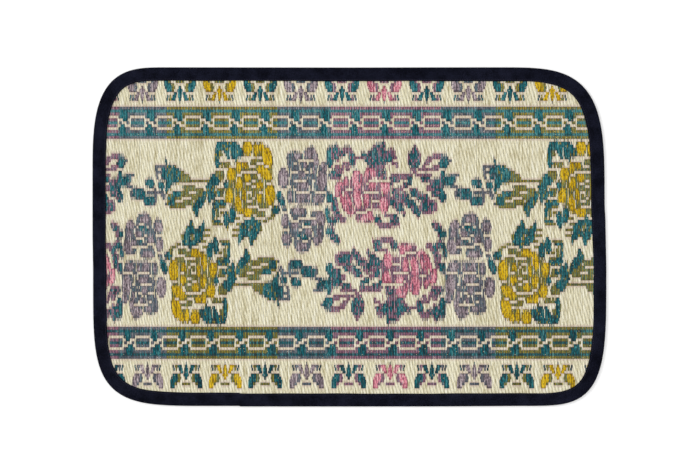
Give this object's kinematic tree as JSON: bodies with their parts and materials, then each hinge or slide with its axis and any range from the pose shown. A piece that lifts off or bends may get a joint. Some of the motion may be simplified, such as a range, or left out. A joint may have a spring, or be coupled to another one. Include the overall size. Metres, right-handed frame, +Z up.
{
  "type": "rush doormat",
  "caption": "Flat rounded rectangular floor mat woven from dyed rushes in a floral pattern with chain borders, its edge bound in dark cloth tape.",
  "frame": {"origin": "on the floor, under the middle of the mat", "axes": "+Z up out of the mat's face, +X along its long side, the tape's lapped end on the -Y edge"},
  "size_m": [0.9, 0.594, 0.0052],
  "materials": {
    "rushes": "dry woven rushes, smooth with a low natural sheen",
    "edge_tape": "matt woven cloth tape"
  },
  "bodies": {
    "root": {"rush_panel": "rushes", "edge_binding": "edge_tape"}
  },
  "joints": []
}
